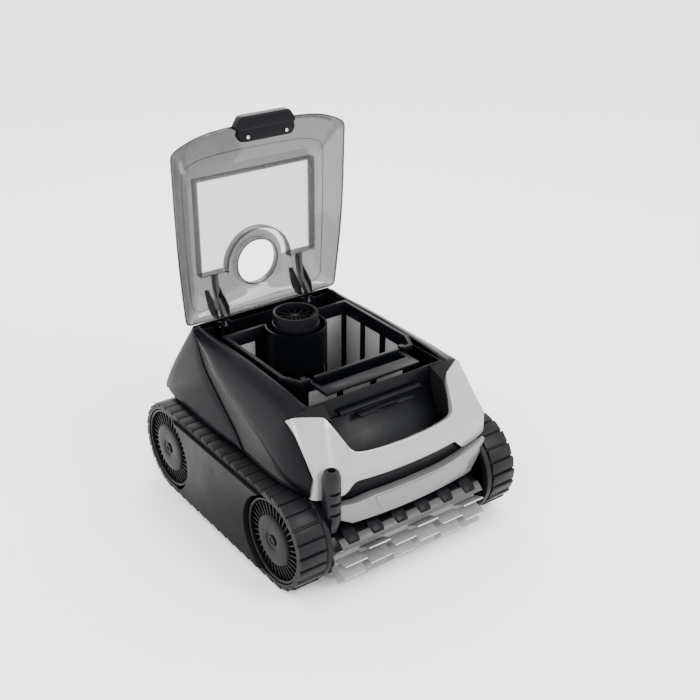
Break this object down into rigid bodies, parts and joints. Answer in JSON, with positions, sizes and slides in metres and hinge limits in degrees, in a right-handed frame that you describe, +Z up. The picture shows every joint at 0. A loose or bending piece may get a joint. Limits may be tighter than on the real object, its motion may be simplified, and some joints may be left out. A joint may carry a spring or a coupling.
{
  "type": "pool cleaner",
  "caption": "Tracked robotic pool cleaner with a clear hinged lid, lift-out filter basket, central pump outlet, silver carrying front and a finned rubber brush.",
  "frame": {"origin": "on the ground under the middle of the whole cleaner with its lid open", "axes": "+Z up, +X across the tracks, -Y towards the silver front and the brush"},
  "size_m": [0.43, 0.4922, 0.623],
  "materials": {
    "dark_shell": "satin moulded charcoal",
    "black_plastic": "satin black",
    "grey_panel": "satin dark grey",
    "silver_front": "silver paint on plastic",
    "silver_bumper": "silver paint on plastic",
    "boot_rubber": "moulded rubber",
    "track_rubber": "ribbed rubber track",
    "wheel_plastic": "black wheel plastic",
    "nylon": "natural nylon",
    "steel": "stainless steel",
    "motor_can": "plated can",
    "unit_plastic": "moulded housing",
    "board": "green circuit board",
    "smoked_clear": "smoked clear plastic",
    "mesh": "fine filter mesh",
    "brush_rubber": "grey rubber blades"
  },
  "bodies": {
    "root": {"lower_chassis": "dark_shell", "upper_casing": "dark_shell", "side_blade_left": "grey_panel", "side_blade_right": "grey_panel", "hatch_liner": "black_plastic", "front_fascia": "silver_front", "front_bumper": "silver_bumper", "badge_plate": "silver_bumper", "slot_band": "black_plastic", "handle_scoop": "black_plastic", "front_ledge": "black_plastic", "catch_plate": "black_plastic", "cable_boot": "boot_rubber", "boot_neck": "black_plastic", "side_frame_left": "black_plastic", "side_frame_right": "black_plastic", "side_cover_left": "grey_panel", "side_cover_right": "grey_panel", "track_left": "track_rubber", "track_right": "track_rubber", "axle_pins": "steel", "axle_caps": "black_plastic", "drive_unit": "unit_plastic", "drive_unit_cover": "unit_plastic", "cover_seal": "boot_rubber", "control_board": "board", "pump_motor": "motor_can", "drive_motor_left": "motor_can", "drive_motor_right": "motor_can", "outlet_column": "black_plastic", "outlet_grille": "black_plastic", "inlet_duct": "black_plastic", "hinge_brackets": "black_plastic", "hinge_pins": "steel", "brush_guard": "black_plastic"},
    "lid": {"lid_shell": "smoked_clear", "lid_frame": "smoked_clear", "lid_arms": "smoked_clear", "latch_base": "black_plastic", "latch_screws": "steel"},
    "lid_latch": {"latch_lever": "black_plastic"},
    "basket": {"basket_frame": "black_plastic", "basket_well": "black_plastic", "basket_screens": "mesh"},
    "basket_handle": {"basket_handle": "black_plastic"},
    "inlet_flap": {"inlet_flap": "black_plastic"},
    "wheel_front_left": {"wheel_front_left": "wheel_plastic", "bush_front_left": "nylon"},
    "wheel_front_right": {"wheel_front_right": "wheel_plastic", "bush_front_right": "nylon"},
    "wheel_rear_left": {"wheel_rear_left": "wheel_plastic", "bush_rear_left": "nylon"},
    "wheel_rear_right": {"wheel_rear_right": "wheel_plastic", "bush_rear_right": "nylon"},
    "pinion_left": {"drive_pinion_left": "nylon"},
    "pinion_right": {"drive_pinion_right": "nylon"},
    "brush": {"brush_core": "black_plastic", "brush_blades": "brush_rubber"},
    "impeller": {"impeller": "black_plastic", "motor_shaft": "steel"}
  },
  "joints": [
    {"name": "lid_hinge", "type": "hinge", "parent": "root", "child": "lid", "pos_m": [0, 0.1759, 0.27], "axis": [1, 0, 0], "range_deg": [0, 90]},
    {"name": "latch_pivot", "type": "hinge", "parent": "lid", "child": "lid_latch", "pos_m": [0, 0.1649, 0.6], "axis": [-1, 0, 0], "range_deg": [0, 15], "stiffness_Nm_per_rad": 0.2, "springref_deg": -5.73},
    {"name": "basket_lift", "type": "slide", "parent": "root", "child": "basket", "axis": [0, 0, 1], "range_m": [0, 0.2]},
    {"name": "handle_swing", "type": "hinge", "parent": "basket", "child": "basket_handle", "pos_m": [0, -0.0781, 0.275], "axis": [-1, 0, 0], "range_deg": [0, 95]},
    {"name": "flap_swing", "type": "hinge", "parent": "basket", "child": "inlet_flap", "pos_m": [0, -0.0031, 0.1334], "axis": [-1, 0, 0], "range_deg": [0, 70]},
    {"name": "rear_wheel_left_spin", "type": "hinge", "parent": "root", "child": "wheel_rear_left", "pos_m": [-0.18, 0.1666, 0.0795], "axis": [1, 0, 0], "continuous": true},
    {"name": "front_wheel_left_spin", "type": "hinge", "parent": "root", "child": "wheel_front_left", "pos_m": [-0.18, -0.1548, 0.0795], "axis": [1, 0, 0], "continuous": true},
    {"name": "pinion_left_spin", "type": "hinge", "parent": "root", "child": "pinion_left", "pos_m": [-0.158, 0.1226, 0.0795], "axis": [1, 0, 0], "continuous": true},
    {"name": "rear_wheel_right_spin", "type": "hinge", "parent": "root", "child": "wheel_rear_right", "pos_m": [0.18, 0.1666, 0.0795], "axis": [1, 0, 0], "continuous": true},
    {"name": "front_wheel_right_spin", "type": "hinge", "parent": "root", "child": "wheel_front_right", "pos_m": [0.18, -0.1548, 0.0795], "axis": [1, 0, 0], "continuous": true},
    {"name": "pinion_right_spin", "type": "hinge", "parent": "root", "child": "pinion_right", "pos_m": [0.158, 0.1226, 0.0795], "axis": [1, 0, 0], "continuous": true},
    {"name": "brush_spin", "type": "hinge", "parent": "root", "child": "brush", "pos_m": [0, -0.2041, 0.045], "axis": [1, 0, 0], "continuous": true},
    {"name": "impeller_spin", "type": "hinge", "parent": "root", "child": "impeller", "pos_m": [0, 0.0877, 0.24], "axis": [0, 0, 1], "continuous": true}
  ],
  "couplings": [
    {"joint": "front_wheel_left_spin", "follows": "rear_wheel_left_spin", "ratio": 1},
    {"joint": "pinion_left_spin", "follows": "rear_wheel_left_spin", "ratio": -2.6667},
    {"joint": "front_wheel_right_spin", "follows": "rear_wheel_right_spin", "ratio": 1},
    {"joint": "pinion_right_spin", "follows": "rear_wheel_right_spin", "ratio": -2.6667},
    {"joint": "brush_spin", "follows": "rear_wheel_left_spin", "ratio": 2}
  ]
}
